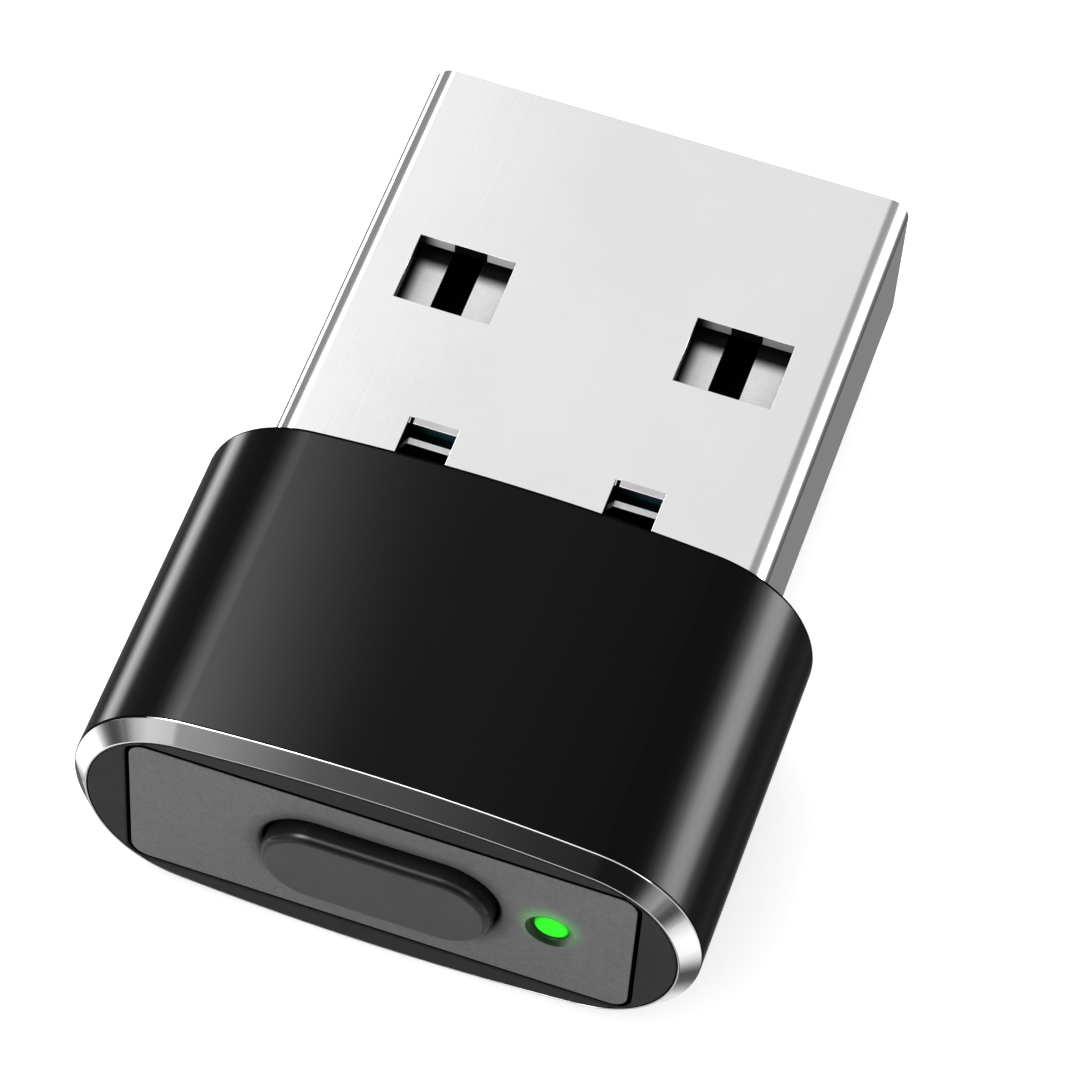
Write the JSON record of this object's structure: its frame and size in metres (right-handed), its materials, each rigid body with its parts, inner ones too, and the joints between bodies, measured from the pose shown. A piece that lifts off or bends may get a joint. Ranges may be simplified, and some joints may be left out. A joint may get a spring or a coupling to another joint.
{
  "type": "mouse jiggler",
  "caption": "Small plug-in dongle that keeps a pointer moving: metal sleeve, flat plug, push button and a green status light.",
  "frame": {"origin": "on the plug's axis, in the plane of the sleeve's front face that meets the socket", "axes": "+Y along the plug, the way it goes into the socket; +X across the plug, towards the status light; +Z out of the face with the windows and rear slots"},
  "size_m": [0.0148, 0.0212, 0.007],
  "materials": {
    "black_anodised": "glossy black anodised, with the chamfer cut back to bright metal",
    "frame_plastic": "smooth satin",
    "plate_plastic": "fine spark-eroded grain",
    "button_plastic": "satin face, polished edge",
    "light_pipe_plastic": "clear green, lit from behind",
    "nickel": "bright nickel plate",
    "insulator_plastic": "off-white moulded plastic",
    "contact_gold": "gold flash over nickel",
    "solder": "dull solder",
    "board_laminate": "dark teal solder mask",
    "switch_plastic": "moulded plastic",
    "switch_metal": "stamped steel",
    "plunger_plastic": "natural nylon",
    "light_ceramic": "white package",
    "light_resin": "clear resin",
    "chip_plastic": "moulded chip package",
    "crystal_ceramic": "ceramic",
    "capacitor_ceramic": "tan ceramic"
  },
  "bodies": {
    "housing": {"sleeve": "black_anodised", "front_collar": "frame_plastic", "inner_frame": "frame_plastic", "rear_plate": "plate_plastic", "light_pipe": "light_pipe_plastic", "plug_shell": "nickel", "plug_insulator": "insulator_plastic", "ground_contact": "contact_gold", "data_plus_contact": "contact_gold", "data_minus_contact": "contact_gold", "power_contact": "contact_gold", "contact_solder": "solder", "shell_solder": "solder", "circuit_board": "board_laminate", "switch_base": "switch_plastic", "switch_cover": "switch_metal", "snap_dome": "switch_metal", "switch_terminals": "solder", "light_package": "light_ceramic", "light_window": "light_resin", "controller": "chip_plastic", "controller_pads": "solder", "crystal_base": "crystal_ceramic", "crystal_lid": "switch_metal", "capacitors": "capacitor_ceramic", "capacitor_ends": "solder", "resistors": "chip_plastic", "resistor_ends": "solder"},
    "button": {"mode_button": "button_plastic"},
    "plunger": {"switch_plunger": "plunger_plastic"}
  },
  "joints": [
    {"name": "button_press", "type": "slide", "parent": "housing", "child": "button", "axis": [0, 1, 0], "range_m": [0, 0.00025], "stiffness_N_per_m": 500},
    {"name": "plunger_press", "type": "slide", "parent": "housing", "child": "plunger", "axis": [0, 1, 0], "range_m": [0, 0.00025], "deforming": ["snap_dome"]}
  ],
  "couplings": [
    {"joint": "plunger_press", "follows": "button_press", "ratio": 1}
  ]
}
